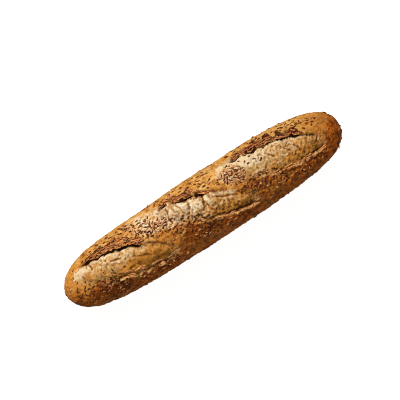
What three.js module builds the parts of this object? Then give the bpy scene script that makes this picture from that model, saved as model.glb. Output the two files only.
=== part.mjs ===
// A short seeded baguette: one loaf, baked in one piece, with three slashes across its top.
// Millimetres, +Z up. The origin is the middle of the flat base, and +X runs along the loaf.
import * as THREE from 'three';
import { mergeVertices } from 'three/addons/utils/BufferGeometryUtils.js';

// The loaf
const LENGTH = 350;
const WIDTH = 76;
const CROWN_HEIGHT = 60; // top of the crust, before the slashes lift or open it
const WAIST_HEIGHT = 27; // where the loaf is widest, which is also the height of its two tips
const BELLY_DEPTH = 32.5; // how far a fully round underside would reach below the waist
const PLAN_ROUNDNESS = 3; // exponent of the outline from above: 2 is an ellipse, more is blunter
const SIDE_ROUNDNESS = 2.6; // exponent of the outline from the side

// The slashes: each opens between a lifted ear on its +Y side and a lower lip on its -Y side.
// Start and end are plan positions. A skew over 1 moves the widest place towards the end.
const SLASHES = [
  { start: [-156, 13], end: [-41, -25], earReach: 18, earSkew: 1, lipReach: 12.5, lipSkew: 1 },
  { start: [-51, 26], end: [61, -24], earReach: 13.5, earSkew: 1.1, lipReach: 15.5, lipSkew: 1 },
  { start: [41, 28], end: [153, -10], earReach: 11, earSkew: 1.25, lipReach: 21, lipSkew: 0.8 },
];
const EDGE_FULLNESS = 0.6; // how quickly a slash widens from its pointed ends
const EAR = { height: 3.4, offset: 5, spread: 6 }; // the lifted edge, beyond the fold
const FOLD = { height: -4.2, offset: -4, spread: 4.5 }; // the crease under the ear
const LIP = { height: 1.2, offset: -2, spread: 4 }; // the low rim on the other side
const DOUGH_SWELL = 3; // how far the opened dough stands up between fold and lip

// The mesh
const RINGS = 80; // cross-sections from tip to tip
const TOP_CORNERS = 26; // corners of each cross-section above the waist, where the slashes are
const BASE_CORNERS = 12; // corners below the waist
const TIP_CROWDING = 1.3; // how much the cross-sections crowd towards the tips
const MERGE_DISTANCE = 0.001;

// Share of the full size that is left at u, which runs from -1 to 1 along the loaf.
function taper(u, roundness) {
  return (1 - Math.abs(u) ** roundness) ** (1 / roundness);
}

// How far a slash has opened at p, which runs from 0 to 1 along it.
function opening(p, skew) {
  return Math.sin(Math.PI * p ** skew) ** EDGE_FULLNESS;
}

// A rounded ridge, or a valley where its height is negative, beside the line at zero.
function ridge(distance, { height, offset, spread }) {
  return height * Math.exp(-(((distance - offset) / spread) ** 2));
}

// Height that one slash adds to the crust at a point of the plan.
function slashRelief(x, y, slash) {
  const alongX = slash.end[0] - slash.start[0];
  const alongY = slash.end[1] - slash.start[1];
  const span = Math.hypot(alongX, alongY);
  const fromX = x - slash.start[0];
  const fromY = y - slash.start[1];
  const p = (fromX * alongX + fromY * alongY) / span ** 2;
  if (p <= 0 || p >= 1) return 0;

  const q = (fromY * alongX - fromX * alongY) / span;
  const ear = slash.earReach * opening(p, slash.earSkew);
  const lip = -slash.lipReach * opening(p, slash.lipSkew);
  const across = Math.min(1, Math.max(0, (ear - q) / (ear - lip)));
  const swell = DOUGH_SWELL * Math.sin(Math.PI * across);
  const fade = Math.sin(Math.PI * p);
  return fade * (swell + ridge(q - ear, EAR) + ridge(q - ear, FOLD) + ridge(q - lip, LIP));
}

function relief(x, y) {
  return SLASHES.reduce((sum, slash) => sum + slashRelief(x, y, slash), 0);
}

// A corner of the cross-section at u: angle 0 is the side at +Y, a quarter turn on is the top.
function crustPoint(u, angle) {
  const x = (LENGTH / 2) * u;
  const y = (WIDTH / 2) * taper(u, PLAN_ROUNDNESS) * Math.cos(angle);
  const rise = Math.sin(angle);
  if (rise < 0) {
    const below = BELLY_DEPTH * taper(u, PLAN_ROUNDNESS) * rise;
    return new THREE.Vector3(x, y, Math.max(0, WAIST_HEIGHT + below));
  }
  const above = (CROWN_HEIGHT - WAIST_HEIGHT) * taper(u, SIDE_ROUNDNESS) * rise;
  return new THREE.Vector3(x, y, WAIST_HEIGHT + above + relief(x, y) * rise);
}

// Where ring i of the mesh stands, from -1 to 1.
function ringPlace(i) {
  const v = (2 * i) / RINGS - 1;
  return Math.sign(v) * (1 - (1 - Math.abs(v)) ** TIP_CROWDING);
}

// The angle of each corner of a cross-section, once round it.
function cornerAngles() {
  const angles = [];
  for (let j = 0; j < TOP_CORNERS; j += 1) angles.push((Math.PI * j) / TOP_CORNERS);
  for (let j = 0; j < BASE_CORNERS; j += 1) angles.push(Math.PI * (1 + j / BASE_CORNERS));
  return angles;
}

function loafGeometry() {
  const angles = cornerAngles();
  const corners = [];
  for (let i = 0; i <= RINGS; i += 1) {
    for (const angle of angles) corners.push(crustPoint(ringPlace(i), angle));
  }
  const faces = [];
  for (let i = 0; i < RINGS; i += 1) {
    for (let j = 0; j < angles.length; j += 1) {
      const here = i * angles.length;
      const next = here + angles.length;
      const k = (j + 1) % angles.length;
      // the first and last ring are single points, so one triangle of each pair has no area there
      if (i > 0) faces.push(here + j, here + k, next + j);
      if (i < RINGS - 1) faces.push(here + k, next + k, next + j);
    }
  }
  const geometry = new THREE.BufferGeometry().setFromPoints(corners);
  geometry.setIndex(faces);
  const closed = mergeVertices(geometry, MERGE_DISTANCE);
  closed.computeVertexNormals();
  return closed;
}

const crust = new THREE.MeshStandardMaterial({ color: 0xb06a2c, roughness: 0.7, metalness: 0 });
const loaf = new THREE.Mesh(loafGeometry(), crust);
loaf.name = 'loaf';

const baguette = new THREE.Group();
baguette.name = 'baguette';
baguette.add(loaf);

export default baguette;
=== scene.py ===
# %% [markdown]
# # A short seeded baguette
# This loaf was baked in one piece: dough rolled in linseed, slashed three times across the top, and
# opened by the oven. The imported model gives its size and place, and this script gives it its looks.
# Everything is in metres, with +X along the loaf, +Z up, and the base of the loaf on the floor at z = 0.

# %% Load the frame
import math
import random
from itertools import product
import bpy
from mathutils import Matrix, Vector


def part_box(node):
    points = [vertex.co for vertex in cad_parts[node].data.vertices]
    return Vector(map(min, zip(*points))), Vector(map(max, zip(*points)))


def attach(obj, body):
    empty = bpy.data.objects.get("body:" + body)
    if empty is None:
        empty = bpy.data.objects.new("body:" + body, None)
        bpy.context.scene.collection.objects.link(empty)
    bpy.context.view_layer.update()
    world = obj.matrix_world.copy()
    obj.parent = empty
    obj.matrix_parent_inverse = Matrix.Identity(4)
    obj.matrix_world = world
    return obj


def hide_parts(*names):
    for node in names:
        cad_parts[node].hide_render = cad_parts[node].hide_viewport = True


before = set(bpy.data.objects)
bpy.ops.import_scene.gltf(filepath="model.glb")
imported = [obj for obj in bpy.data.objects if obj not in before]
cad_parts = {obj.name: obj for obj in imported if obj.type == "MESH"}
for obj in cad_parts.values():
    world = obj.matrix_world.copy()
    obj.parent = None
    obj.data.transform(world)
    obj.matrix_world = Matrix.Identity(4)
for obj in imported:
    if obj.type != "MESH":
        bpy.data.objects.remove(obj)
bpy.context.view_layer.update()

from types import SimpleNamespace

import bpy
import numpy as np
from mathutils import Vector, noise
from mathutils.bvhtree import BVHTree

MM = 0.001
low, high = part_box("loaf")
HALF_LENGTH = (high.x - low.x) / 2 / MM
HALF_WIDTH = (high.y - low.y) / 2 / MM
print(f"The loaf is {2 * HALF_LENGTH:.0f} mm long and {2 * HALF_WIDTH:.0f} mm wide.")

# %% [markdown]
# Before any modelling, a few small tools. Operators act on whatever is selected, and the frame arrives
# selected, so each new piece starts with everything deselected. Shapes are worked out in millimetres as
# whole arrays of points, because a crust has tens of thousands of them.

# %% Selecting, applying, reading and writing points
def deselect():
    if bpy.context.mode != "OBJECT":
        bpy.ops.object.mode_set(mode="OBJECT")
    bpy.ops.object.select_all(action="DESELECT")


def make_active(piece):
    deselect()
    piece.select_set(True)
    bpy.context.view_layer.objects.active = piece


def new_piece(name):
    """Names the object that an operator has just added."""
    piece = bpy.context.object
    piece.name = name
    piece.data.name = name
    return piece


def apply_modifier(piece, kind, **settings):
    make_active(piece)
    modifier = piece.modifiers.new(kind.title(), kind)
    for key, value in settings.items():
        setattr(modifier, key, value)
    bpy.ops.object.modifier_apply(modifier=modifier.name)


def get_points(piece):
    """A piece's points, in millimetres."""
    points = np.empty(len(piece.data.vertices) * 3, np.float32)
    piece.data.vertices.foreach_get("co", points)
    return points.reshape(-1, 3).astype(float) / MM


def set_points(piece, points):
    """Writes points, given in millimetres, back to a piece."""
    piece.data.vertices.foreach_set("co", (points * MM).astype(np.float32).ravel())
    piece.data.update()


def get_normals(piece):
    normals = np.empty(len(piece.data.vertices) * 3, np.float32)
    piece.data.vertex_normals.foreach_get("vector", normals)
    return normals.reshape(-1, 3).astype(float)


def set_mask(piece, name, values):
    """Keeps one value for each point, under a name that materials read."""
    mask = piece.data.attributes.new(name, "FLOAT", "POINT")
    mask.data.foreach_set("value", np.asarray(values, np.float32))


# %% Noise and smooth steps
def wobble(points, wavelength, octaves=2, seed=0.0):
    """Smooth noise from about -1 to 1, in lumps of that wavelength in millimetres."""
    scaled = points / wavelength + seed * 17.3
    return np.array([noise.fractal(p, 1.0, 2.0, octaves) for p in scaled])


def pillows(points, size, seed=0.0):
    """Round lumps of that size that meet in creases: 1 at a lump's middle, 0 in a crease."""
    scaled = points / size + seed * 11.7
    gaps = [noise.voronoi(p)[0] for p in scaled]
    return np.array([min(1.0, 1.6 * (d[1] - d[0])) for d in gaps])


def pores(points, size, seed=0.0):
    """Small round holes about that far apart: 1 in the middle of a hole, 0 between them."""
    scaled = points / size + seed * 5.9
    nearest = np.array([noise.voronoi(p)[0][0] for p in scaled])
    return np.clip(1 - nearest / 0.38, 0, 1)


def curls(points, size, seed=0.0):
    """Thin lines that curl about at that size: 1 along a line, 0 between the lines."""
    bends = [0.9 * size * wobble(points, 1.5 * size, 1, seed + k) for k in (0.1, 0.2)]
    bent = points + np.column_stack([*bends, np.zeros(len(points))])
    return np.clip(1 - 5 * np.abs(wobble(bent, 1.3 * size, 1, seed)), 0, 1)


def drawn_out(points, turn, stretch):
    """Points for noise that is drawn out along a direction on the plan."""
    ahead = points[:, 0] * math.cos(turn) + points[:, 1] * math.sin(turn)
    aside = points[:, 1] * math.cos(turn) - points[:, 0] * math.sin(turn)
    return np.column_stack([ahead / stretch, aside, points[:, 2]])


def ramp(value, start, end):
    """0 before start, 1 after end, and a smooth step between them."""
    t = np.clip((value - start) / (end - start), 0, 1)
    return t * t * (3 - 2 * t)


def ridge(distance, middle, before, after):
    """A ridge of height 1 at middle, with its own spread on each side."""
    spread = np.where(distance < middle, before, after)
    return np.exp(-(((distance - middle) / spread) ** 2))


# %% [markdown]
# ## Camera, floor and light
# The loaf is seen from straight above, turned so that its right end points up. A long lens keeps its far
# ends as large as its middle. A soft key light stands on the side of the lifted ears, so that they throw
# shade onto the opened dough, and a weak, wider light and a pale world fill the other side. White paper
# under bread would light its underside too, so the floor itself is grey, and glows white for the
# camera's rays alone. Beyond the floor's edge, the world does the same.

# %% Camera
TURN = math.radians(32.85)  # how far the loaf's axis stands above the horizontal in the view
FRAME_WIDTH = 435.9 * MM
FRAME_MIDDLE = (3.0 * MM, 9.9 * MM)
FRAME_HEIGHT = 27 * MM  # the frame is that wide at the height where the loaf is widest
LENS = 100
SENSOR = 36
bpy.ops.object.camera_add(
    location=(*FRAME_MIDDLE, FRAME_HEIGHT + FRAME_WIDTH * LENS / SENSOR),
    rotation=(0, 0, -TURN),
)
camera = bpy.context.object
camera.data.lens = LENS
camera.data.sensor_width = SENSOR
bpy.context.scene.camera = camera

# %% Floor and world
FLOOR_SIZE = 6
FLOOR_GREY = (0.25, 0.25, 0.25, 1)
FLOOR_GLOW = 0.91
WORLD_LIGHT = 0.38
WORLD_SEEN = 1.05  # how bright the world is for the camera's rays
deselect()
bpy.ops.mesh.primitive_plane_add(size=FLOOR_SIZE, location=(0, 0, 0))
floor = new_piece("floor")
paper = bpy.data.materials.new("white_paper")
paper.use_nodes = True
paper_shader = paper.node_tree.nodes["Principled BSDF"]
paper_shader.inputs["Base Color"].default_value = FLOOR_GREY
paper_shader.inputs["Roughness"].default_value = 0.9
paper_shader.inputs["Emission Color"].default_value = (1, 1, 1, 1)
floor_ray = paper.node_tree.nodes.new("ShaderNodeLightPath")
glow = paper.node_tree.nodes.new("ShaderNodeMath")
glow.operation = "MULTIPLY"
glow.inputs[1].default_value = FLOOR_GLOW
paper.node_tree.links.new(floor_ray.outputs["Is Camera Ray"], glow.inputs[0])
paper.node_tree.links.new(glow.outputs[0], paper_shader.inputs["Emission Strength"])
floor.data.materials.append(paper)

world = bpy.data.worlds.new("studio")
world.use_nodes = True
backdrop = world.node_tree.nodes["Background"]
backdrop.inputs["Color"].default_value = (1.0, 0.975, 0.935, 1)
world_ray = world.node_tree.nodes.new("ShaderNodeLightPath")
strength = world.node_tree.nodes.new("ShaderNodeMapRange")
strength.inputs["To Min"].default_value = WORLD_LIGHT
strength.inputs["To Max"].default_value = WORLD_SEEN
world.node_tree.links.new(world_ray.outputs["Is Camera Ray"], strength.inputs["Value"])
world.node_tree.links.new(strength.outputs["Result"], backdrop.inputs["Strength"])
bpy.context.scene.world = world
bpy.context.scene.view_settings.view_transform = "Standard"
bpy.context.scene.cycles.filter_width = 1.0  # narrow, so that seeds a millimetre wide stay crisp

# %% Key and fill lights
LIGHTS = [  # name, side that it stands on, height as an angle, distance, size, watts, colour
    ("key", (-0.21, 0.978, 0), 48, 1.3, 0.3, 28, (1.0, 0.98, 0.955)),
    ("fill", (0.3, -0.954, 0), 12, 1.2, 0.8, 3.5, (1.0, 0.95, 0.88)),
]
for name, side, angle, distance, size, watts, colour in LIGHTS:
    angle = math.radians(angle)
    place = distance * (Vector(side) * math.cos(angle) + Vector((0, 0, math.sin(angle))))
    bpy.ops.object.light_add(type="AREA", location=place)
    light = bpy.context.object
    light.name = name
    light.rotation_euler = place.to_track_quat("Z", "Y").to_euler()
    light.data.size = size
    light.data.energy = watts
    light.data.color = colour

# %% [markdown]
# ## The loaf's body
# A baker rolls a ball of dough out into a long log, and this loaf starts the same way: a sphere with its
# poles laid towards the two tips. A box would need its corners rounded away, while a sphere is already
# closed and blunt. Its rings are then moved so that they stand evenly along the outline, and crowd on
# the top, where the detail is.

# %% Roll a ball of dough out into a log
RINGS = 456
RING_POINTS = 208
TOP_CROWDING = 0.3
deselect()
bpy.ops.mesh.primitive_uv_sphere_add(segments=RING_POINTS, ring_count=RINGS, radius=MM)
loaf = new_piece("baked_loaf")
bpy.ops.object.mode_set(mode="EDIT")
bpy.ops.mesh.select_all(action="SELECT")
bpy.ops.transform.rotate(value=math.pi / 2, orient_axis="Y", center_override=(0, 0, 0))
bpy.ops.object.mode_set(mode="OBJECT")
ball = get_points(loaf)
along = np.arcsin(np.clip(ball[:, 0], -1, 1)) / (math.pi / 2)
around = np.arctan2(ball[:, 2], ball[:, 1])
around = around + TOP_CROWDING * np.cos(around)

# %% Shape the log
PLAN_ROUNDNESS = 3.0
SIDE_ROUNDNESS = 2.6
WAIST_HEIGHT = 27.0  # where the loaf is widest, and the height of its tips
CROWN = 59.5 - WAIST_HEIGHT
BELLY = 32.5  # how far a fully round underside would reach below the waist
BASE_SOFTNESS = 1.6  # how gently the underside turns into the flat base
TIP_ROUNDING = 1.6  # how far the shoulders of the two tips are drawn back
SHOULDER = 0.35  # share of the width where a tip's shoulders begin
DRAWN_IN = [  # side, middle, half length and depth of each gentle hollow in a side, or bulge below 0
    (1, -58, 42, 2.6),
    (1, 34, 32, 1.0),
    (1, 178, 32, 2.2),
    (1, -178, 22, 2.0),
    (-1, 148, 40, -1.4),
    (-1, -152, 24, -0.9),
]


def taper(u, roundness):
    """Share of the full size that is left at u, which is 0 in the middle and 1 at a tip."""
    return np.clip(1 - np.abs(u) ** roundness, 0, 1) ** (1 / roundness)


def even_places(v):
    """Turns even ring numbers into places along the loaf that are even along its outline."""
    turn = np.linspace(0, math.pi / 2, 4000)
    u = np.sin(turn) ** (2 / PLAN_ROUNDNESS)
    walked = np.hypot(np.diff(u) * HALF_LENGTH, np.diff(taper(u, PLAN_ROUNDNESS)) * HALF_WIDTH)
    walked = np.concatenate([[0], np.cumsum(walked)])
    return np.sign(v) * np.interp(np.abs(v), walked / walked[-1], u)


u = even_places(along)
wide = HALF_WIDTH * taper(u, PLAN_ROUNDNESS)
rise = np.sin(around)
upper = WAIST_HEIGHT + CROWN * taper(u, SIDE_ROUNDNESS) * rise
lower = WAIST_HEIGHT + BELLY * taper(u, PLAN_ROUNDNESS) * rise
lower = BASE_SOFTNESS * np.logaddexp(0, lower / BASE_SOFTNESS)
plain = np.column_stack([HALF_LENGTH * u, wide * np.cos(around), np.where(rise > 0, upper, lower)])
corner = np.clip(np.abs(plain[:, 1]) / (SHOULDER * HALF_WIDTH), 0, 1) ** 2
plain[:, 0] -= np.sign(u) * TIP_ROUNDING * corner * ramp(np.abs(u), 0.9, 1.0)
for side, middle, half, depth in DRAWN_IN:
    share = np.clip(side * plain[:, 1] / HALF_WIDTH, 0, 1)
    plain[:, 1] -= side * depth * share * np.exp(-(((plain[:, 0] - middle) / half) ** 2))
set_points(loaf, plain)
print(f"The log has {len(plain)} points.")

# %% [markdown]
# ## Three slashes
# A blade opened the dough along three slanting lines, and the oven pushed each one apart. The crust on
# one side lifted as an ear, the soft dough swelled up beside it, and it tore along a low lip on the
# other side. Each slash is a line on the plan, with measures in millimetres and shares of its length:
#
# - ear and lip are how far its two torn edges stand from the line. A skew over 1 moves the widest place
#   towards the end.
# - lift is how high the ear stands, band is how wide the torn crust on it is, and gape is how wide the
#   fold under it opens.
# - fold_until is where that fold starts to run out, fading is how much of it is gone by the end, and
#   broken is how much it comes and goes before that.
# - sharp_from is where the lip turns from a soft slope into a sharp tear, and groove is how deep the
#   line beside that tear is.
# - roughness is how crinkled the dough is, and baked is how much browner than usual.
#
# Every point of the loaf then learns how far it is from the ear and from the lip, and all of the relief
# and colour follows from those distances.

# %% Lines of the slashes
SLASHES = [
    dict(
        name="left", seed=1.0, start=(-156, 13), end=(-41, -25),
        ear=20.0, ear_skew=1.0, lip=13.8, lip_skew=0.75, band=8.5, band_skew=1.4,
        lift=3.2, gape=1.0, fold_until=0.58, fading=0.97, broken=0.9,
        sharp_from=0.36, groove=0.5, roughness=0.45, baked=0.14,
    ),
    dict(
        name="middle", seed=2.0, start=(-51, 26), end=(61, -24),
        ear=14.5, ear_skew=1.1, lip=14.2, lip_skew=1.0, band=5.5, band_skew=1.0,
        lift=2.4, gape=0.35, fold_until=0.46, fading=0.92, broken=1.8,
        sharp_from=0.58, groove=1.0, roughness=0.9, baked=-0.05,
    ),
    dict(
        name="right", seed=3.0, start=(41, 28), end=(153, -10),
        ear=14.5, ear_skew=1.5, lip=21.0, lip_skew=0.8, band=6.5, band_skew=1.0,
        lift=2.4, gape=0.5, fold_until=0.75, fading=0.6, broken=1.3,
        sharp_from=0.38, groove=0.45, roughness=0.75, baked=-0.08,
    ),
]
LEFT, MIDDLE, RIGHT = SLASHES
EDGE_FULLNESS = 0.6  # how quickly a slash widens from its pointed ends
RAGGED = 1.2  # how far a torn line wanders, in millimetres


def along_noise(p, span, wavelength, seed):
    """Noise that changes only along a slash."""
    places = np.linspace(-0.2, 1.2, 600)
    values = [noise.fractal(Vector((x * span / wavelength, seed * 7.1, 0)), 1.0, 2.0, 2) for x in places]
    return np.interp(p, places, values)


def opening(p, skew):
    """How far a slash has opened at share p of its length, from 0 to 1."""
    return np.sin(math.pi * np.clip(p, 0, 1) ** skew) ** EDGE_FULLNESS


def slash_lines(p, slash):
    """Where the ear and the lip stand beside a slash's straight line, at share p of its length."""
    span = math.dist(slash["start"], slash["end"])
    loose = np.minimum(1, 2 * opening(p, 1))
    seed = slash["seed"]
    ear_wander = 1.6 * along_noise(p, span, 14, seed) + 0.8 * along_noise(p, span, 5, seed)
    lip_wander = 1.6 * along_noise(p, span, 13, seed + 0.5)
    ear = slash["ear"] * opening(p, slash["ear_skew"]) + loose * ear_wander
    lip = -slash["lip"] * opening(p, slash["lip_skew"]) + loose * lip_wander
    return ear, lip


def slash_way(slash):
    """Where a slash starts, the directions along it and towards its ear, and its length."""
    start, end = np.array(slash["start"], float), np.array(slash["end"], float)
    span = np.linalg.norm(end - start)
    forward = (end - start) / span
    return start, forward, np.array([-forward[1], forward[0]]), span


def slash_place(points, slash):
    """Each point's share of the slash's length, and its distance towards the ear's side."""
    start, forward, outwards, span = slash_way(slash)
    away = points[:, :2] - start
    return away @ forward / span, away @ outwards


# %% [markdown]
# The relief is a sum of simple profiles across a slash: a ridge for the ear, a valley for the fold under
# it, a swell for the dough and a low ridge for the lip. The ear also leans out over the fold, so that it
# casts a real shadow. The dough of the three slashes broke up in different ways: the left one is smooth,
# with a few cracks and holes, the middle one is a row of soft knuckles, and the right one is curled and
# crinkled. So each slash has its own share of each texture.

# %% Textures that the relief is made of
SLANT = math.radians(-20)  # the slashes and their fibres lie at about this angle to the loaf
UNEVENNESS = 0.8  # how far the hand-rolled body strays from its plain form
SLIMMING = 0.992  # leaves room for seeds and blisters inside the loaf's width
body = plain + UNEVENNESS * wobble(plain, 55, 2, 1)[:, None] * [0.2, 1, 0.6]
body[:, 1] *= SLIMMING
set_points(loaf, body)
normals = get_normals(loaf)
wander = [RAGGED * wobble(body, 6, 3, seed) for seed in (2, 3)]
torn = np.column_stack([*wander, np.zeros(len(body))])
lumps = wobble(body, 5.5, 3, 4)
grains = wobble(body, 2.6, 2, 5)
fibres = wobble(drawn_out(body, SLANT, 5.5), 2.2, 2, 15)
holes = pores(body, 5.0, 6) * ramp(wobble(body, 12, 1, 16), 0.05, 0.3)
curled = curls(body, 5.2, 7)
strands = wobble(drawn_out(body + 1.5 * torn, math.radians(35), 4.0), 2.4, 2, 18)
knuckles = pillows(drawn_out(body, math.radians(-60), 1.4) + 1.3 * torn, 12.5, 2.0)
swells = pillows(body * [0.8, 1.2, 0.6] + 1.2 * torn, 15.0, 1.0)

# %% Cracks and hollows placed one by one
CRACKS = [  # start, end, width and depth of each short split in the dough
    ((-135, 19), (-133, 10), 0.9, 1.5),
    ((-112, 6), (-101, 3), 0.9, 1.4),
    ((-118, -4), (-108, -12), 0.8, 0.9),
    ((-88, -2), (-74, -9), 0.9, 1.0),
    ((-80, 8), (-72, 2), 0.8, 0.8),
    ((-33, 22), (-36, 8), 1.0, 1.6),
    ((-22, 19), (-18, 7), 0.9, 1.4),
    ((-8, 13), (-14, 3), 0.9, 1.2),
    ((8, 14), (4, 3), 1.0, 1.6),
    ((17, 12), (34, 4), 1.0, 2.2),
    ((20, 3), (40, -6), 0.9, 1.4),
    ((88, 14), (94, 6), 0.9, 1.1),
    ((104, 12), (112, 2), 0.9, 1.2),
    ((118, 6), (124, -8), 0.9, 1.1),
]
FOLDS = [  # start, end, width and height of each pale fold that stands up from the dough
    ((16, 8), (38, -1), 2.0, 1.8),
    ((-112, 4), (-104, 1), 1.2, 0.8),
]
HOLLOWS = [  # middle, radius and depth of each deep place under an ear
    ((-34, 27), 4.5, 1.6),
    ((-13, 21), 5.0, 1.8),
    ((1, 17), 4.0, 1.2),
    ((-97, 14), 6.0, 1.6),
    ((-80, 9), 5.0, 1.4),
    ((112, 10), 5.0, 1.5),
]


def line_distance(points, start, end):
    """Distance on the plan from a short straight line."""
    start, end = np.array(start, float), np.array(end, float)
    way = end - start
    share = np.clip((points[:, :2] - start) @ way / (way @ way), 0, 1)
    return np.linalg.norm(points[:, :2] - start - share[:, None] * way, axis=1)


splits = np.zeros(len(body))
for start, end, width, depth in CRACKS:
    away = line_distance(body + torn, start, end) / width
    splits = np.maximum(splits, depth * np.exp(-(away ** 2)))
folds = np.zeros(len(body))
for start, end, width, tall in FOLDS:
    away = line_distance(body + 0.7 * torn, start, end) / width
    folds = np.maximum(folds, tall * np.exp(-(away ** 2)))
sunken = np.zeros(len(body))
for middle, radius, depth in HOLLOWS:
    away = np.linalg.norm(body[:, :2] + torn[:, :2] - middle, axis=1)
    sunken = np.maximum(sunken, depth * np.exp(-((away / radius) ** 2)))

# %% Where each point lies in a slash
on_top = ramp(rise, 0.05, 0.3)


def measure(slash):
    """Each point's place in a slash, and how far its ear, fold, dough and lip have opened there."""
    _, _, outwards, span = slash_way(slash)
    p, q = slash_place(body + torn, slash)
    ear, lip = slash_lines(p, slash)
    from_ear, from_lip = q - ear, q - lip
    fold_end = slash["fold_until"]
    widening = opening(p, slash["band_skew"])

    def varied(wavelength, seed):
        return along_noise(p, span, wavelength, slash["seed"] + seed)

    # where the blade went in shallow, the dough fades into the crust instead of tearing from it
    sharp_lip = ramp(p - slash["sharp_from"] + 0.1 * lumps, -0.05, 0.08)
    soft = 1.0 + 9 * (1 - sharp_lip)
    closing = ramp(p + 0.06 * lumps, fold_end, fold_end + 0.25)
    inside = ramp(-from_ear + 2 * lumps * closing, -0.3 - 3 * closing, 1 + 5 * closing)
    inside = inside * ramp((from_lip + 3 * lumps * (1 - sharp_lip)) / soft, -0.5, 1.0)
    inside = inside * ramp(p, 0, 0.04) * ramp(1 - p + 0.03 * lumps, 0, 0.1)

    folded = 1 - slash["fading"] * ramp(p + 0.08 * lumps, fold_end, fold_end + 0.15)
    folded = folded * ramp(p, 0.04, 0.14) * np.clip(0.85 + slash["broken"] * varied(9, 0.4), 0, 1.2)
    reach = slash["band"] * widening * (0.8 + 0.9 * varied(8, 0.7))
    band = ramp(from_ear, -0.8, 0.4) * ramp(reach - from_ear, 0, 1.0)
    return SimpleNamespace(
        p=p, from_ear=from_ear, from_lip=from_lip, inside=inside, sharp_lip=sharp_lip,
        across=np.clip(-from_ear / np.maximum(ear - lip, 1), 0, 1),
        ends=ramp(p, 0.0, 0.14) * ramp(1 - p, 0.0, 0.14) * on_top,
        folded=folded, reach=reach, torn_band=band * (1 - ramp(p, fold_end, 0.92)),
        gape=np.clip(widening * (0.9 + 0.9 * varied(8, 0.8)), 0.1, 1.6) * slash["gape"],
        shred=sharp_lip * ramp(varied(5, 0.2), -0.5, 0.3), outwards=outwards,
    )


# %% The ear, the fold under it, and the lip
FOLD_DEPTH = 4.8
EAR_LEAN = 1.8  # how far the ear leans out over the fold
FOLD_LEAN = 1.4  # how far the fold cuts in under the ear
GROOVE_DEPTH = 2.0


def ear_relief(slash, at):
    """The raised ear, the torn crust on it, and the fold under it."""
    crest = slash["lift"] * (0.45 + 0.55 * at.folded) * ridge(at.from_ear, 2.4, 1.6, 8.0)
    fold = FOLD_DEPTH * at.folded * ridge(at.from_ear, -1.2 - 0.6 * at.gape, 1.6 + 1.0 * at.gape, 1.5)
    return at.ends * (crest - fold + at.torn_band * (1.3 * fibres + 0.5 * lumps))


def ear_lean(at):
    """The shift on the plan that leans the ear out over its fold."""
    over = EAR_LEAN * ridge(at.from_ear, 1.4, 1.8, 3.0)
    under = FOLD_LEAN * ridge(at.from_ear, -1.6, 1.4, 1.2)
    return (at.ends * at.folded * (under - over))[:, None] * at.outwards


def lip_relief(slash, at):
    """The low rim along the lip, and the groove between it and the dough."""
    rim = (0.2 + 1.0 * at.shred) * ridge(at.from_lip, -0.9, 1.5, 0.9)
    groove = GROOVE_DEPTH * slash["groove"] * ridge(at.from_lip, 1.6, 1.1, 2.2)
    return at.ends * at.sharp_lip * (rim - groove)


# %% The dough between them
DOUGH_SWELL = 3.0
KNUCKLE_HEIGHT = 2.6


def knuckled_dough(at):
    """The middle slash: a row of soft knuckles, rougher towards its lip. Also its creases and crowns."""
    deep_end = ramp(at.p, 0.55, 0.95)
    knuckled = (1 - 0.75 * ramp(at.p, 0.5, 0.7)) * (1 - 0.6 * at.across)
    rough = ramp(at.across, 0.3, 0.6) * (1 - 0.6 * deep_end)
    relief = at.ends * knuckled * KNUCKLE_HEIGHT * (ramp(knuckles, 0, 0.9) - 0.6)
    relief = relief + rough * (0.8 * lumps + 0.7 * grains + 0.4 * fibres)
    return relief, knuckled * ramp(0.26 - knuckles, 0, 0.24), knuckled * ramp(knuckles, 0.3, 0.8)


def curled_dough(at, curly):
    """The right slash: curled wrinkles that turn into strands. Also its creases."""
    stringy = ramp(at.p + 0.1 * lumps, 0.5, 0.7)
    relief = curly * ((1.1 - 0.7 * stringy) * curled + 1.1 * stringy * strands)
    return relief, curly * 0.45 * ramp(curled, 0.35, 0.9)


def smooth_dough(at):
    """The left slash: long soft swells. Also its creases."""
    return at.ends * 0.9 * (ramp(swells, 0, 0.7) - 0.7), 0.4 * ramp(0.25 - swells, 0, 0.25)


# %% Relief and masks of the slashes
height = np.zeros(len(body))
lean = np.zeros((len(body), 2))
smooth = np.zeros(len(body))
crowns = np.zeros(len(body))
masks = {}


def mark(name, values):
    """Raises a mask to these values, where they are higher than what it holds."""
    masks[name] = np.maximum(masks.get(name, 0), values)


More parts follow.
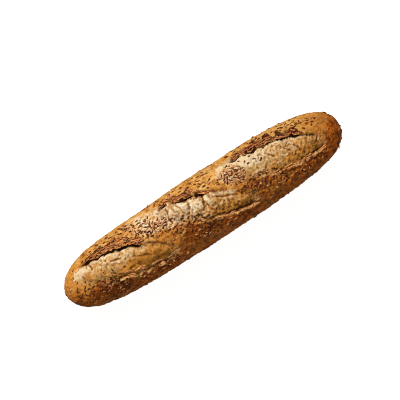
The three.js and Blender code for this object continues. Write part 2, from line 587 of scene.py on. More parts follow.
for slash in SLASHES:
    at = measure(slash)
    curly = 1.0
    if slash is MIDDLE:
        relief, creases, at_crowns = knuckled_dough(at)
        crowns = at.inside * at_crowns
    elif slash is RIGHT:
        curly = ramp(at.p + 0.15 * lumps, 0.08, 0.4)
        relief, creases = curled_dough(at, curly)
    else:
        relief, creases = smooth_dough(at)
    rough = slash["roughness"] * (0.35 + 0.65 * curly)
    smooth = np.maximum(smooth, at.inside * (1 - rough))
    relief = relief + at.ends * DOUGH_SWELL * np.sin(math.pi * at.across) ** 0.7
    relief = relief + rough * (0.45 * lumps + 0.7 * grains) - 1.8 * ramp(at.p, 0.55, 0.95)
    relief = relief - 0.9 * holes + folds - splits - sunken
    height += at.inside * relief + ear_relief(slash, at) + lip_relief(slash, at)
    lean += ear_lean(at)

    baked = slash["baked"] + 0.32 * lumps
    browned = ramp(0.85 * at.across + 0.6 * ramp(at.p, 0.3, 0.9) + baked, 0.38, 0.95)
    # The olive share grows towards the sunken end: partly browning, partly painted shade in that deep
    # place.
    olive = ramp(0.6 * at.across + 0.8 * ramp(at.p, 0.4, 1.0) + baked, 0.7, 1.2)
    scorched = ridge(at.from_ear, at.reach, 0.9, 0.9) * ramp(lumps, -0.2, 0.2)
    # Painted shadow: the fold under the ear is painted near-black.
    fold_shadow = ridge(at.from_ear, -0.9 - 0.8 * at.gape, 0.5 + 1.2 * at.gape, 1.3)
    mark("dough", at.inside * on_top)
    mark("gold", at.inside * browned)
    mark("olive", at.inside * olive)
    # Painted shade in the dough's creases, cracks and holes.
    mark("seam", at.inside * np.clip(creases + 0.7 * splits + 0.5 * holes, 0, 1))
    mark("tear", at.ends * at.torn_band * ramp(at.folded + 0.3 * lumps, 0.3, 0.7))
    mark("scorch", at.ends * at.folded * scorched)
    mark("fold", at.ends * at.folded * fold_shadow)
    # Painted shade in the groove beside the lip.
    mark("groove", at.ends * slash["groove"] * at.shred * ridge(at.from_lip, 1.4, 0.7, 1.0))
    # The rim along the lip is painted paler: partly its own torn edge, partly painted highlight.
    mark("rim", at.ends * at.shred * ridge(at.from_lip, -0.5, 1.5, 1.0))

# %% Relief of the crust
FLOOR_GAP = 0.02
knobbly = ramp(14 - body[:, 1], 0, 16) * ramp(HALF_LENGTH - np.abs(body[:, 0]), 8, 30)
crust = 0.5 * wobble(body, 14, 2, 7) + 0.3 * wobble(body * [0.5, 1, 1], 4.5, 2, 8) + 0.2 * grains
crust = crust + knobbly * (0.7 * lumps + 0.35 * grains)
height += (1 - masks["dough"]) * crust
underside = ramp(6 - plain[:, 2], 0, 5)
height *= 1 - underside
shaped = body + normals * height[:, None]
shaped[:, :2] += lean
shaped[:, 2] = np.maximum(shaped[:, 2], FLOOR_GAP)
set_points(loaf, shaped)
print("Relief from", round(float(height.min()), 1), "to", round(float(height.max()), 1), "mm")

# %% [markdown]
# ## Finer relief of the crust
# Steam blisters the skin of a crust and leaves it wrinkled at the scale of a millimetre or two. That
# is a job for Displace modifiers with procedural textures. A vertex group keeps them off the flat base.

# %% Blisters and wrinkles
skin_group = loaf.vertex_groups.new(name="skin")
for index in np.flatnonzero(underside < 0.9):
    skin_group.add([int(index)], float((1 - underside[index]) * (1 - 0.7 * smooth[index])), "REPLACE")


def displace(piece, kind, size, strength, group, **settings):
    """Applies a Displace modifier with a texture whose lumps have that size, in millimetres."""
    texture = bpy.data.textures.new(f"{piece.name}_{kind.lower()}", kind)
    texture.noise_scale = size * MM
    for key, value in settings.items():
        setattr(texture, key, value)
    apply_modifier(piece, "DISPLACE", texture=texture, strength=strength * MM, mid_level=0.5,
                   texture_coords="LOCAL", vertex_group=group)


displace(loaf, "CLOUDS", 3.2, 1.0, "skin", noise_depth=2)
displace(loaf, "CLOUDS", 1.5, 1.0, "skin", noise_depth=1)
make_active(loaf)
bpy.ops.object.shade_smooth()
surface = BVHTree.FromObject(loaf, bpy.context.evaluated_depsgraph_get())


def look_down(x, y):
    """What a ray straight down meets at a place on the plan, given in millimetres: place and normal."""
    return surface.ray_cast(Vector((x * MM, y * MM, 1)), Vector((0, 0, -1)))[:2]


def drop(x, y):
    """Height of the loaf's top at a place on the plan, in millimetres."""
    hit = look_down(x, y)[0]
    return 0.0 if hit is None else hit.z / MM


# %% [markdown]
# ## Where the crust browned, with painted shade and highlights
# Baked colour follows the shape. The side turned away from the ears and from the key light is darker,
# partly browned and partly painted shade. The tips are reddish brown, the crust just under each lip is
# the darkest of the top, and flour stayed pale on the straps of crust between the slashes. Hollows get
# painted shade, and crests a lighter colour that is partly flour and partly painted highlight. These
# are masks from 0 to 1 on the points, which the materials read.

# %% Hollows and crests
def smoothed(piece, points, rounds):
    """The points after each one has moved halfway to the middle of its neighbours, so many times."""
    ends = np.empty(len(piece.data.edges) * 2, np.int32)
    piece.data.edges.foreach_get("vertices", ends)
    first, second = ends.reshape(-1, 2).T
    here, there = np.concatenate([first, second]), np.concatenate([second, first])
    count = np.bincount(here, minlength=len(points))
    for _ in range(rounds):
        sums = [np.bincount(here, column[there], len(points)) / count for column in points.T]
        points = (points + np.column_stack(sums)) / 2
    return points


skin = get_points(loaf)
skin_normals = get_normals(loaf)
sunk = np.sum((smoothed(loaf, skin, 14) - skin) * skin_normals, axis=1)
# Hollows get painted shade: this mask darkens the colour in creases.
masks["hollow_shade"] = ramp(sunk, 0.02, 0.42) * (1 - underside)
# Crests are painted paler in the finishes: partly flour, partly painted highlight.
masks["crest"] = ramp(-sunk, 0.05, 0.42) * (1 - underside)
print("Shares of hollows and crests:", [round(float(masks[k].mean()), 2) for k in ("hollow_shade", "crest")])

# %% Patches placed one by one
FLOURED = [  # middle, radii and turn of each patch of flour
    ((-58, 19), (28, 14), -20),
    ((-40, 15), (24, 14), -35),
    ((-22, 10), (24, 12), -30),
    ((46, 18), (21, 15), -25),
    ((68, 18), (25, 9), -12),
    ((-148, 12), (12, 8), 10),
]
TOASTED = [  # middle, radii and turn of each patch that browned more than the rest, and how dark it went
    ((-122, -18), (42, 13), -8, 0.9),
    ((-160, -14), (12, 16), 0, 0.5),
    ((-76, -11), (24, 8), -12, 0.7),
    ((-50, -5), (24, 14), -20, 0.2),
    ((-14, -18), (34, 10), -10, 0.75),
    ((28, 6), (20, 7), -24, 0.4),
    ((44, -2), (18, 10), -28, 0.2),
    ((62, -7), (18, 10), -20, 0.5),
    ((84, -20), (36, 9), 0, 0.3),
]


def oval(points, middle, radii, turn):
    """1 at the middle of an oval on the plan, 0 at its edge and beyond."""
    turn = math.radians(turn)
    away = points[:, :2] - middle
    ahead = (away[:, 0] * math.cos(turn) + away[:, 1] * math.sin(turn)) / radii[0]
    aside = (away[:, 1] * math.cos(turn) - away[:, 0] * math.sin(turn)) / radii[1]
    return np.clip(1 - np.hypot(ahead, aside), 0, 1)


patches = wobble(body, 9, 3, 9)


def ragged_patch(middle, radii, turn, start, end):
    """A patch on the loaf with a ragged edge: 1 well inside its oval, 0 outside it."""
    inwards = oval(skin, middle, radii, turn)
    return ramp(inwards + 0.3 * patches * ramp(inwards, 0, 0.15), start, end)


# %% Browning and flour
x, y, z = skin.T
# Painted shade: the side away from the key light is made darker, on top of its browning.
shade_side = ramp(-y / HALF_WIDTH + 0.14 * patches, -0.2, 0.7)
tips = ramp(np.abs(x + 6) + 5 * patches, 0.82 * HALF_LENGTH, 1.02 * HALF_LENGTH)
tips = tips + 0.6 * ramp(x + 5 * patches, 0.66 * HALF_LENGTH, 0.98 * HALF_LENGTH)
tips = tips * (1 - 0.6 * ramp(y / HALF_WIDTH, 0.1, 0.6))
low_down = ramp(22 - z + 4 * patches, 0, 14) * (1 - ramp(6 - z, 0, 5))
toasted = np.zeros(len(body))
for middle, radii, turn, darkness in TOASTED:
    patch = ragged_patch(middle, radii, turn, 0.1, 0.6)
    toasted = np.maximum(toasted, patch)
    mark("charred", darkness * patch)
under_lip = np.zeros(len(body))
for slash in SLASHES:
    p, q = slash_place(skin, slash)
    from_lip = q - slash_lines(p, slash)[1]
    beside = ramp(p, 0.1, 0.3) * ramp(1 - p, 0, 0.1) * ridge(from_lip, -3, 6, 2)
    under_lip = np.maximum(under_lip, beside)
charred = masks["charred"]
# This mask holds real browning, and painted shade on the side away from the key light.
masks["toast_and_side_shade"] = np.clip(0.8 * shade_side + 0.6 * tips + 0.5 * under_lip + charred, 0, 1)
masks["toast_and_side_shade"] *= 1 - 0.55 * low_down
for middle, radii, turn in FLOURED:
    mark("flour", ragged_patch(middle, radii, turn, 0.05, 0.5))
mark("flour", ramp(folds, 0.3, 1.0))
mark("flour", 0.8 * crowns)
masks["mottled"] = toasted * (1 - charred)
masks["tips"] = ramp(np.abs(x) + 8 * patches, 0.74 * HALF_LENGTH, 0.9 * HALF_LENGTH)
masks["olive"] = np.clip(masks["olive"] + 0.8 * charred * masks["dough"], 0, 1)
masks["gold"] = np.clip(masks["gold"] + 0.7 * toasted * masks["dough"], 0, 1)
masks["base"] = underside
for name, values in masks.items():
    set_mask(loaf, name, values)

# %% [markdown]
# ## Torn flaps
# An ear isn't one clean edge: it is a few layers of thin crust that tore apart and curled over the fold,
# with shreds between them. The lips have a fringe of the same kind. Each flap starts as a flat grid, as
# thin as a sheet. Its points are laid along the torn line, its fixed edge sinks into the crust and its
# free edge is ragged, and a Solidify modifier then gives it its thickness.

# %% One flap
FLAP_THICKNESS = 0.6
SINK = 0.6  # how deep a flap's fixed edge and its two ends sit in the crust


def flap(name, slash, line, stretch, edges, stand, ragged, tone, seed, steps=170, rows=6, loose=False):
    """A torn strip beside an ear or a lip. edges: how far its fixed and free edges are from that line."""
    deselect()
    bpy.ops.mesh.primitive_grid_add(x_subdivisions=steps, y_subdivisions=rows, size=2)
    piece = new_piece(name)
    grid = get_points(piece) * MM
    s, r = (grid[:, 0] + 1) / 2, (grid[:, 1] + 1) / 2
    p = stretch[0] + (stretch[1] - stretch[0]) * s
    start, forward, outwards, span = slash_way(slash)
    fixed, free = edges
    on_ear = line == "ear"
    edge = slash_lines(p, slash)[0 if on_ear else 1]
    teeth = ragged * (0.9 * along_noise(p, span, 9, seed) + 0.7 * along_noise(p, span, 3.2, seed + 0.3))
    full = np.sin(math.pi * s) ** 0.5
    hold = 1 if loose else full
    if on_ear:
        hold = hold * (0.35 + 0.65 * opening(p, slash["band_skew"]))
    q = edge + fixed * hold + 0.7 * along_noise(p, span, 5, seed + 0.6)
    q = q + (free - fixed + teeth) * full * r
    # the flap rests on the crust up to the crest, and stands free beyond it
    support = np.maximum(q, edge + 1.6) if on_ear else np.minimum(q, edge - 1.0)
    if loose and not on_ear:
        support = q
    places = start + forward * (p * span)[:, None] + outwards * support[:, None]
    heights = np.array([drop(*place) for place in places])
    plan = start + forward * (p * span)[:, None] + outwards * q[:, None]
    curl = along_noise(p, span, 6, seed + 0.9)
    z = heights - SINK + full * r * (stand + SINK + 0.6 * curl) - 0.25 * np.abs(q - support)
    z = z + 0.3 * wobble(np.column_stack([plan, z]), 2.2, 2, seed)
    set_points(piece, np.column_stack([plan, z]))
    set_mask(piece, "free_edge", r)
    set_mask(piece, "tone", np.full(len(r), tone))
    set_mask(piece, "fringe", np.full(len(r), float(not on_ear)))
    apply_modifier(piece, "SOLIDIFY", thickness=FLAP_THICKNESS * MM, offset=-1)
    return piece


def shreds(slash, line, count, stretch, roots, reaches, stands, seed):
    """Short strips with pointed ends, torn off here and there along a line."""
    random.seed(seed)
    made = []
    for number in range(count):
        start = random.uniform(*stretch)
        end = min(start + random.uniform(0.05, 0.15), 0.99)
        root = random.uniform(*roots)
        edges = (root, root + random.uniform(*reaches))
        stand = random.uniform(*stands)
        tone = random.random()
        name = f"shred_{slash['name']}_{line}_{number}"
        made.append(flap(name, slash, line, (start, end), edges, stand, 0.5, tone, seed + number + 0.5,
                         steps=18, rows=4, loose=True))
    return made


# %% Ears and fringes
FLAPS = [  # name, slash, line, stretch, edges, how high it stands, raggedness, tone, seed
    ("ear_left_under", LEFT, "ear", (0.16, 0.70), (3.6, -0.4), 1.0, 1.8, 0.3, 11),
    ("ear_left_over", LEFT, "ear", (0.10, 0.60), (7.4, 4.6), 1.8, 3.4, 0.75, 12),
    ("ear_left_top", LEFT, "ear", (0.34, 0.60), (9.8, 7.2), 1.4, 2.4, 0.35, 14),
    ("ear_middle_under", MIDDLE, "ear", (0.10, 0.40), (3.0, -0.3), 0.9, 3.4, 0.2, 21),
    ("ear_middle_end", MIDDLE, "ear", (0.44, 0.58), (1.2, -1.0), 0.6, 2.4, 0.1, 24),
    ("ear_middle_over", MIDDLE, "ear", (0.14, 0.38), (5.2, 2.6), 1.8, 3.0, 0.8, 22),
    ("ear_right_under", RIGHT, "ear", (0.12, 0.66), (3.0, -0.4), 0.8, 3.0, 0.3, 31),
    ("ear_right_over", RIGHT, "ear", (0.16, 0.54), (6.4, 3.8), 1.6, 2.8, 0.8, 32),
    ("fringe_left", LEFT, "lip", (0.44, 0.94), (-1.6, 1.6), 1.4, 3.2, 0.5, 13),
    ("fringe_left_inner", LEFT, "lip", (0.36, 0.80), (4.0, 6.4), 1.3, 3.2, 0.5, 15),
    ("fringe_left_last", LEFT, "lip", (0.66, 0.96), (0.8, 3.2), 1.4, 2.6, 0.5, 17),
    ("fringe_middle", MIDDLE, "lip", (0.60, 0.94), (-1.2, 0.4), 1.1, 3.2, 0.5, 23),
    ("fringe_right", RIGHT, "lip", (0.42, 0.93), (-1.2, -0.2), 0.9, 1.6, 0.5, 33),
    ("fringe_right_inner", RIGHT, "lip", (0.50, 0.88), (0.9, 1.8), 0.9, 1.2, 0.5, 35),
]
flaps = [flap(*row) for row in FLAPS]
flaps += shreds(LEFT, "ear", 18, (0.14, 0.62), (1.5, 8.0), (-2.8, -1.4), (0.4, 1.5), 100)
flaps += shreds(MIDDLE, "ear", 13, (0.06, 0.44), (0.5, 6.0), (-2.8, -1.4), (0.4, 1.5), 200)
flaps += shreds(RIGHT, "ear", 18, (0.06, 0.70), (0.5, 6.5), (-2.6, -1.3), (0.4, 1.5), 300)
flaps += shreds(LEFT, "lip", 16, (0.40, 0.90), (-2.5, 5.0), (1.4, 3.0), (0.6, 1.5), 400)
flaps += shreds(MIDDLE, "lip", 18, (0.40, 0.92), (-3.5, 2.0), (0.9, 2.2), (0.5, 1.4), 500)
flaps += shreds(RIGHT, "lip", 16, (0.30, 0.92), (-3.0, 2.5), (0.8, 1.7), (0.4, 1.1), 600)
make_active(flaps[0])
for piece in flaps[1:]:
    piece.select_set(True)
bpy.ops.object.join()
torn_flaps = new_piece("torn_flaps")
bpy.ops.object.shade_smooth()
print("Torn flaps:", len(torn_flaps.data.polygons), "faces")

# %% [markdown]
# ## Linseeds
# A linseed is a flat drop, 4 to 5 mm long. One is modelled from a small sphere, squashed flat and
# pulled out to a point, and copied some hundreds of times, so it has few faces. The dough was rolled in
# seed, so it lies thick on the straps between the slashes and thin elsewhere, mostly along the loaf.
# Many seeds sank in or kept a skin of dough, so each one has a tone and a share of that skin.

# %% One linseed
SEED_LENGTH, SEED_WIDTH, SEED_DEPTH = 5.0, 2.1, 1.4
deselect()
bpy.ops.mesh.primitive_uv_sphere_add(segments=8, ring_count=6, radius=MM / 2)
seed = new_piece("linseed")
bpy.ops.object.mode_set(mode="EDIT")
bpy.ops.mesh.select_all(action="SELECT")
bpy.ops.transform.rotate(value=math.pi / 2, orient_axis="Y", center_override=(0, 0, 0))
bpy.ops.transform.resize(value=(SEED_LENGTH, SEED_WIDTH, SEED_DEPTH), center_override=(0, 0, 0))
bpy.ops.object.mode_set(mode="OBJECT")
seed_points = get_points(seed)
front = np.clip(seed_points[:, 0] / (SEED_LENGTH / 2), 0, 1)
seed_points[:, 1] *= 1 - 0.45 * front ** 2
seed_faces = [tuple(face.vertices) for face in seed.data.polygons]
bpy.data.objects.remove(seed)

# %% Where the seeds lie
CLUSTERS = [  # where, middle, radii, turn, tries, least gap, how much the seeds turn, share with a skin
    ("strap between left and middle", (-62, 16), (18, 11), -20, 160, 1.9, 0.9, 0.35),
    ("lower on that strap", (-44, 9), (14, 8), -30, 70, 2.3, 0.7, 0.25),
    ("foot of that strap", (-19, -6), (34, 10), -27, 170, 2.9, 0.35, 0.08),
    ("strap between middle and right", (47, 13), (13, 11), -35, 300, 1.7, 1.2, 0.5),
    ("foot of that strap", (74, -9), (28, 9), -14, 120, 2.6, 0.6, 0.15),
    ("under the left lip", (-122, -15), (18, 8), -15, 60, 2.4, 0.7, 0.25),
    ("left end", (-150, -4), (12, 13), 0, 24, 3.0, 0.9, 0.1),
    # The clusters low on the sides have a larger share of seeds with a skin, whose paler colour stands in
    # for glints: painted highlight.
    ("under the left lip's end", (-62, -29), (26, 5), 0, 40, 2.6, 0.4, 0.4),
    ("lower left side", (-116, -28), (34, 5), 0, 34, 2.8, 0.5, 0.45),
    ("under the middle lip", (6, -25), (30, 6), -8, 56, 2.4, 0.4, 0.4),
    ("under the right lip", (112, -21), (34, 7), 6, 60, 2.6, 0.5, 0.35),
    ("right shoulder", (130, 22), (26, 9), -14, 46, 2.9, 0.6, 0.3),
    ("above the right ear", (85, 32), (36, 5), -3, 28, 2.8, 0.35, 0.2),
    ("above the left ear", (-100, 27), (36, 6), 6, 30, 2.8, 0.4, 0.2),
    ("left of the strap", (-84, 26), (10, 7), -20, 28, 2.6, 0.6, 0.3),
    ("above the middle ear", (-5, 31), (40, 5), 0, 24, 3.0, 0.3, 0.2),
    ("right of the middle ear", (20, 20), (18, 5), -20, 16, 2.6, 0.5, 0.2),
    ("right dough", (68, 15), (16, 8), -15, 11, 4.0, 1.0, 0.1),
    ("left dough", (-125, -2), (18, 6), -15, 6, 4.0, 0.9, 0.1),
]
LOOSE_SEEDS = 620
APART = 4.0  # the least distance between loose seeds, and more than any cluster's own gap
STEEPEST = 0.75 * math.pi / 2  # how far below the sides loose seeds still lie
LOWEST = 3  # the height under which no loose seed lies

# %% Lay one seed
SEED_SIZES = (0.8, 1.08)
SEED_TILT = 0.16
CLUSTER_SINK = (-0.15, 0.3)  # how high a seed's middle lies on the crust, as a share of its depth
LOOSE_SINK = (-0.45, 0.1)
BARE, COVERED = (0, 0.2), (0.55, 0.9)  # how much of a seed may have a skin of dough
random.seed(7)
taken = {}
placed = []


def is_free(place, gap):
    """True if no seed lies within that gap, and then notes this one."""
    cell = tuple(math.floor(c / APART) for c in place)
    for step in product((-1, 0, 1), repeat=3):
        near = taken.get(tuple(c + d for c, d in zip(cell, step)), [])
        if any(math.dist(other, place) < gap for other in near):
            return False
    taken.setdefault(cell, []).append(place)
    return True


def seed_frame(normal, spread):
    """Directions of a seed lying on a surface: along, aside and up."""
    turn = random.gauss(0, spread)
    up = (normal + SEED_TILT * Vector([random.gauss(0, 1) for _ in range(3)])).normalized()
    ahead = Vector((math.cos(turn), math.sin(turn), 0))
    ahead = (ahead - up * ahead.dot(up)).normalized()
    return np.array([ahead, up.cross(ahead), up])


def place_seed(hit, normal, gap, spread, sink, skinned):
    """Lays a seed where a ray met the crust, if it has room there."""
    if is_free(tuple(hit / MM), gap):
        size = random.uniform(*SEED_SIZES)
        height_out = SEED_DEPTH * random.uniform(*sink)
        cover = random.uniform(*(COVERED if random.random() < skinned else BARE))
        place = np.array(hit) / MM + height_out * np.array(normal)
        placed.append((size, seed_frame(normal, spread), place, random.random(), cover))


def in_dough(place):
    """True if a place lies between the ear and the lip of a slash."""
    for slash in SLASHES:
        p, q = slash_place(place, slash)
        ear, lip = slash_lines(p, slash)
        if 0 < p[0] < 1 and lip[0] < q[0] < ear[0] + 3:
            return True
    return False


# %% Seeds in clusters, then loose ones all over the crust
for _, middle, radii, turn, count, gap, spread, skinned in CLUSTERS:
    turn = math.radians(turn)
    for _ in range(count):
        away = math.sqrt(random.random()) ** 1.2
        bearing = random.uniform(0, 2 * math.pi)
        ahead, aside = radii[0] * away * math.cos(bearing), radii[1] * away * math.sin(bearing)
        x = middle[0] + ahead * math.cos(turn) - aside * math.sin(turn)
        y = middle[1] + ahead * math.sin(turn) + aside * math.cos(turn)
        hit, normal = look_down(x, y)
        if hit is not None:
            place_seed(hit, normal, gap, spread, CLUSTER_SINK, skinned)
for _ in range(LOOSE_SEEDS):
    x = random.uniform(-HALF_LENGTH, HALF_LENGTH) * MM
    bearing = random.uniform(-STEEPEST, math.pi + STEEPEST)
    inwards = Vector((-0.25 * x / (HALF_LENGTH * MM), -math.cos(bearing), -math.sin(bearing)))
    start = Vector((x, 0, WAIST_HEIGHT * MM)) - 0.2 * inwards
    hit, normal, _, _ = surface.ray_cast(start, inwards)
    if hit is not None and hit.z >= LOWEST * MM and not in_dough(np.array([hit]) / MM):
        place_seed(hit, normal, APART, 0.35, LOOSE_SINK, 0.25)
print(len(placed), "seeds")

# %% One mesh of all seeds
points, faces, tones, covers = [], [], [], []
for size, axes, place, tone, cover in placed:
    faces += [tuple(v + len(points) for v in face) for face in seed_faces]
    points += list(size * seed_points @ axes + place)
    tones += [tone] * len(seed_points)
    covers += [cover] * len(seed_points)
mesh = bpy.data.meshes.new("linseeds")
mesh.from_pydata([Vector(p) * MM for p in points], [], faces)
linseeds = bpy.data.objects.new("linseeds", mesh)
bpy.context.scene.collection.objects.link(linseeds)
set_mask(linseeds, "tone", tones)
set_mask(linseeds, "cover", covers)
make_active(linseeds)
bpy.ops.object.shade_smooth()

# %% [markdown]
# ## Finishes
# Nothing on a loaf has one flat colour. Each finish is mixed from a few baked colours by noise at the
# size of the real marks, and by the masks on the points. What more than one finish needs, such as
# blotches or streaks, is a small shader node group with its own sizes in millimetres.

# %% Colours and node tools
def paint(red, green, blue):
    """A colour given as on a screen, from 0 to 255, in the linear values that a shader takes."""
    parts = [c / 255 for c in (red, green, blue)]
    return (*[c / 12.92 if c <= 0.04045 else ((c + 0.055) / 1.055) ** 2.4 for c in parts], 1)


def fill(tree, socket, value):
    """Links an input to another node's output, or gives it a plain value."""
    if isinstance(value, bpy.types.NodeSocket):
        tree.links.new(value, socket)
    else:
        socket.default_value = value


def add(tree, kind, settings=None, **inputs):
    """Adds a node, sets its properties and fills its inputs with values or links."""
    node = tree.nodes.new("ShaderNode" + kind)
    for key, value in (settings or {}).items():
        setattr(node, key, value)
    for key, value in inputs.items():
        fill(tree, node.inputs[key.replace("_", " ")], value)
    return node


def blend(tree, share, first, second, mode="MIX"):
    """A Mix node for colours."""
    node = add(tree, "Mix", {"data_type": "RGBA", "blend_type": mode})
    for index, value in ((0, share), (6, first), (7, second)):
        fill(tree, node.inputs[index], value)
    return node.outputs[2]


def times(tree, first, second, operation="MULTIPLY"):
    """A Math node, whose result is kept between 0 and 1."""
    node = add(tree, "Math", {"operation": operation, "use_clamp": True})
    fill(tree, node.inputs[0], first)
    fill(tree, node.inputs[1], second)
    return node.outputs[0]


def mask(tree, name):
    """Reads one of the masks on the points."""
    return add(tree, "Attribute", {"attribute_name": name}).outputs["Fac"]


# %% Groups shared by the finishes
def new_group(name, inputs, output):
    """An empty group with number inputs and one number output, and its two end nodes."""
    group = bpy.data.node_groups.new(name, "ShaderNodeTree")
    for key, value in inputs.items():
        socket = group.interface.new_socket(name=key, in_out="INPUT", socket_type="NodeSocketFloat")
        socket.default_value = value
    group.interface.new_socket(name=output, in_out="OUTPUT", socket_type="NodeSocketFloat")
    result = group.nodes.new("NodeGroupOutput").inputs[output]
    return group, group.nodes.new("NodeGroupInput").outputs, result


def places_in_mm(tree, stretch=(1, 1, 1), turn=0.0):
    """The piece's own coordinates in millimetres, turned on the plan and drawn out along some."""
    place = add(tree, "TexCoord").outputs["Object"]
    mapping = add(tree, "Mapping", {"vector_type": "TEXTURE"}, Vector=place, Rotation=(0, 0, turn),
                  Scale=[MM * s for s in stretch])
    return mapping.outputs["Vector"]


def one_over(tree, size):
    """The scale of a texture whose marks have that size."""
    scale = add(tree, "Math", {"operation": "DIVIDE"})
    scale.inputs[0].default_value = 1
    tree.links.new(size, scale.inputs[1])
    return scale.outputs[0]


def build_blotches(name, stretch, turn=0.0):
    """Noise cut into marks with soft edges, which lie along the turn where they are stretched."""
    group, given, result = new_group(name, {"Size": 5.0, "From": 0.4, "To": 0.6}, "Mask")
    grain = add(group, "TexNoise", Vector=places_in_mm(group, stretch, turn),
                Scale=one_over(group, given["Size"]), Detail=4.0, Roughness=0.62)
    step = add(group, "MapRange", {"interpolation_type": "SMOOTHSTEP"}, Value=grain.outputs["Fac"],
               From_Min=given["From"], From_Max=given["To"])
    group.links.new(step.outputs["Result"], result)
    return group


def build_specks():
    """Small dots, in a share of the cells of a Voronoi texture."""
    group, given, result = new_group("specks", {"Size": 3.0, "Share": 0.3, "Radius": 0.3}, "Mask")
    dots = add(group, "TexVoronoi", Vector=places_in_mm(group, (2.4, 1, 1)),
               Scale=one_over(group, given["Size"]))
    near = add(group, "MapRange", {"interpolation_type": "SMOOTHSTEP"}, Value=dots.outputs["Distance"],
               From_Min=given["Radius"], From_Max=0.0)
    lot = add(group, "SeparateColor", Color=dots.outputs["Color"]).outputs[0]
    chosen = times(group, lot, given["Share"], "LESS_THAN")
    group.links.new(times(group, near.outputs["Result"], chosen), result)
    return group


def build_skin():
    """Height of the fine roughness of baked dough, for bump."""
    group, given, result = new_group("skin", {"Fine": 0.5, "Coarse": 0.5}, "Height")
    fine = add(group, "TexNoise", Vector=places_in_mm(group), Scale=1.4, Detail=3.0, Roughness=0.6)
    coarse = add(group, "TexNoise", Vector=places_in_mm(group), Scale=0.45, Detail=2.0, Roughness=0.5)
    total = times(group, times(group, fine.outputs["Fac"], given["Fine"]),
                  times(group, coarse.outputs["Fac"], given["Coarse"]), "ADD")
    group.links.new(total, result)
    return group


BLOTCHES = build_blotches("blotches", (1, 1, 1))
STREAKS = build_blotches("streaks", (6, 1, 1))
FIBRES = build_blotches("fibres", (9, 1, 1), SLANT)
SPECKS = build_specks()
SKIN = build_skin()


def use(tree, group, **inputs):
    """Places a group and returns its output."""
    return add(tree, "Group", {"node_tree": group}, **inputs).outputs[0]


def blotches(tree, size, start, end, kind=BLOTCHES):
    """A mask of marks of that size, which are fewer and smaller where start and end are higher."""
    return use(tree, kind, Size=size, From=start, To=end)


def new_finish(name, roughness, shine):
    """A new material, with its node tree and its shader."""
    finish = bpy.data.materials.new(name)
    finish.use_nodes = True
    shader = finish.node_tree.nodes["Principled BSDF"]
    shader.inputs["Roughness"].default_value = roughness
    shader.inputs["Specular IOR Level"].default_value = shine
    return finish, finish.node_tree, shader


def add_bump(tree, shader, strength, distance, **amounts):
    """Feeds the fine roughness to a shader's normal."""
    height = use(tree, SKIN, **amounts)
    bump = add(tree, "Bump", Strength=strength, Distance=distance * MM, Height=height)
    tree.links.new(bump.outputs["Normal"], shader.inputs["Normal"])


# %% Crust and dough
HONEY, WHEAT, AMBER = paint(159, 104, 34), paint(184, 145, 82), paint(120, 58, 10)
ROAST, CHAR = paint(160, 84, 21), paint(92, 40, 4)
FLOUR, CREAM, DUST_AND_HIGHLIGHT = paint(190, 175, 146), paint(166, 141, 98), paint(226, 214, 188)
BEIGE, TAN = paint(158, 117, 56), paint(132, 78, 20)
GOLDEN, OLIVE = paint(171, 112, 42), paint(86, 52, 10)
BISCUIT, RUSSET, BARK = paint(190, 122, 68), paint(118, 47, 14), paint(42, 13, 2)
STRAW, SHADE = paint(200, 144, 88), paint(114, 55, 12)


def crust_colour(tree):
    """Golden crust with lengthwise streaks, mottled and freckled, browner where it is toasted, and darker
    with painted shade on the side away from the key light.
    """
    crust = blend(tree, blotches(tree, 12.0, 0.35, 0.7), HONEY, WHEAT)
    crust = blend(tree, blotches(tree, 1.1, 0.5, 0.64, STREAKS), crust, WHEAT)
    crust = blend(tree, times(tree, blotches(tree, 5.5, 0.48, 0.7), 0.7), crust, AMBER)
    crust = blend(tree, blotches(tree, 1.3, 0.55, 0.66, STREAKS), crust, AMBER)
    crust = blend(tree, times(tree, blotches(tree, 8.0, 0.54, 0.7), 0.6), crust, AMBER)
    crust = blend(tree, times(tree, mask(tree, "tips"), 0.6), crust, GOLDEN)
    dark = times(tree, blotches(tree, 6.5, 0.4, 0.62), mask(tree, "charred"), "ADD")
    roast_and_shade = blend(tree, dark, ROAST, CHAR)
    # Part of this darkening is painted shade on the side away from the key light.
    crust = blend(tree, mask(tree, "toast_and_side_shade"), crust, roast_and_shade)
    mottled = blend(tree, blotches(tree, 4.5, 0.46, 0.6), GOLDEN, AMBER)
    crust = blend(tree, times(tree, mask(tree, "mottled"), 0.8), crust, mottled)
    freckles = use(tree, SPECKS, Size=2.2, Share=0.28, Radius=0.42)
    return blend(tree, times(tree, freckles, 0.8), crust, BARK)


def floury_colour(tree):
    """Pale crumb and flour with tan marks, and crests that are paler: partly flour, partly painted
    highlight.
    """
    floury = blend(tree, blotches(tree, 5.0, 0.4, 0.62), CREAM, BEIGE)
    floury = blend(tree, blotches(tree, 1.8, 0.52, 0.64), floury, TAN)
    flour_and_crest_highlight = times(tree, mask(tree, "crest"), mask(tree, "flour"), "ADD")
    floury = blend(tree, times(tree, flour_and_crest_highlight, 0.6), floury, FLOUR)
    # Painted highlight: fine pale grains on the crests.
    dust_and_highlight_grains = times(tree, mask(tree, "crest"), blotches(tree, 1.6, 0.54, 0.62))
    return blend(tree, times(tree, dust_and_highlight_grains, 0.7), floury, DUST_AND_HIGHLIGHT)


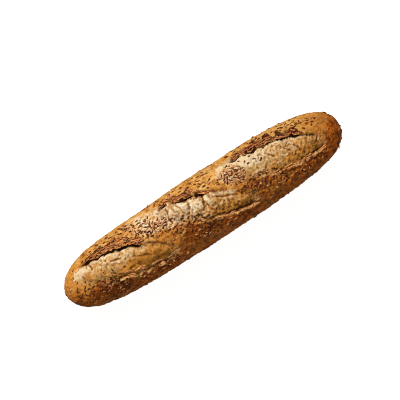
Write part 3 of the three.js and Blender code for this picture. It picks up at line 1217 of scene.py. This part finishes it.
def crust_finish():
    """The whole loaf's finish: the masks say which colours show where."""
    finish, tree, shader = new_finish("crust", 0.6, 0.05)
    crust = crust_colour(tree)
    floury = floury_colour(tree)
    patchy = times(tree, mask(tree, "flour"), blotches(tree, 4.0, 0.36, 0.56))
    crust = blend(tree, times(tree, patchy, 0.9), crust, floury)
    dusty = times(tree, patchy, blotches(tree, 2.4, 0.42, 0.58))
    crust = blend(tree, times(tree, dusty, 0.6), crust, FLOUR)
    golden = blend(tree, blotches(tree, 4.5, 0.46, 0.64), GOLDEN, OLIVE)
    # Painted highlight: crests of the dough turn paler towards BEIGE.
    golden = blend(tree, times(tree, mask(tree, "crest"), 0.5), golden, BEIGE)
    # Olive is partly painted shade where the dough sinks at its end.
    golden = blend(tree, times(tree, mask(tree, "olive"), 0.65), golden, OLIVE)
    dough = blend(tree, mask(tree, "gold"), floury, golden)
    # Painted shade: creases, cracks and holes of the dough turn tan.
    dough = blend(tree, times(tree, mask(tree, "seam"), 0.8), dough, TAN)
    colour = blend(tree, mask(tree, "dough"), crust, dough)
    # Painted shade: hollows are multiplied darker with SHADE.
    colour = blend(tree, times(tree, mask(tree, "hollow_shade"), 0.7), colour, SHADE, "MULTIPLY")

    torn = blend(tree, blotches(tree, 1.2, 0.32, 0.48, FIBRES), RUSSET, BARK)
    colour = blend(tree, mask(tree, "tear"), colour, torn)
    colour = blend(tree, mask(tree, "scorch"), colour, BARK)
    # Partly painted highlight: the rim along each lip turns paler towards WHEAT.
    colour = blend(tree, mask(tree, "rim"), colour, WHEAT)
    # Painted shade: the groove beside each lip turns darker towards CHAR.
    colour = blend(tree, times(tree, mask(tree, "groove"), 0.6), colour, CHAR)
    # Painted shadow in the fold under each ear.
    colour = blend(tree, mask(tree, "fold"), colour, BARK)
    base = blend(tree, blotches(tree, 7.0, 0.4, 0.65), ROAST, AMBER)
    colour = blend(tree, mask(tree, "base"), colour, base)
    tree.links.new(colour, shader.inputs["Base Color"])
    add_bump(tree, shader, 0.7, 0.6, Fine=0.5, Coarse=0.5)
    return finish


loaf.data.materials.append(crust_finish())


# %% Torn crust
def torn_finish():
    """Torn layers: dark and reddish on the ears, paler on the fringes, and paler at free edges as a
    painted highlight.
    """
    finish, tree, shader = new_finish("torn_crust", 0.62, 0.05)
    ear = blend(tree, mask(tree, "tone"), BISCUIT, RUSSET)
    ear = blend(tree, blotches(tree, 1.3, 0.46, 0.54, FIBRES), ear, BARK)
    fringe = blend(tree, blotches(tree, 1.8, 0.48, 0.62), STRAW, RUSSET)
    layers = blend(tree, mask(tree, "fringe"), ear, fringe)
    # Painted highlight: free edges of the torn layers turn paler towards STRAW.
    edge = add(tree, "MapRange", Value=mask(tree, "free_edge"), From_Min=0.7, From_Max=1.0)
    layers = blend(tree, times(tree, edge.outputs["Result"], 0.4), layers, STRAW)
    tree.links.new(layers, shader.inputs["Base Color"])
    add_bump(tree, shader, 0.8, 0.5, Fine=0.6, Coarse=0.4)
    return finish


torn_flaps.data.materials.append(torn_finish())


# %% Linseed
HULLS = paint(46, 15, 2), paint(98, 42, 12)
SKINS = paint(190, 140, 92), paint(120, 70, 34)
WARM_GLOSS = paint(255, 214, 170)
POLISHED, DULL = 0.28, 0.7  # roughness of a bare hull and of the skin of dough


def linseed_finish():
    """Glossy brown hulls, some of them under a dull skin of dough."""
    finish, tree, shader = new_finish("linseed", POLISHED, 0.3)
    shader.inputs["Specular Tint"].default_value = WARM_GLOSS
    hull = blend(tree, mask(tree, "tone"), *HULLS)
    dough_skin = blend(tree, blotches(tree, 1.5, 0.4, 0.6), *SKINS)
    patchy = times(tree, blotches(tree, 1.0, 0.35, 0.5), mask(tree, "cover"))
    skin_share = add(tree, "MapRange", Value=patchy, From_Min=0.3, From_Max=0.6)
    colour = blend(tree, skin_share.outputs["Result"], hull, dough_skin)
    tree.links.new(colour, shader.inputs["Base Color"])
    gloss = add(tree, "MapRange", Value=skin_share.outputs["Result"], To_Min=POLISHED, To_Max=DULL)
    tree.links.new(gloss.outputs["Result"], shader.inputs["Roughness"])
    return finish


linseeds.data.materials.append(linseed_finish())

# %% [markdown]
# ## Handing over
# Each piece rides on the loaf's one body, and the loaf's mesh stands for the plain solid.

# %% Ride and replace
for piece, slot in ((loaf, "crust"), (torn_flaps, "torn_crust"), (linseeds, "linseed")):
    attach(piece, "root")
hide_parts("loaf")
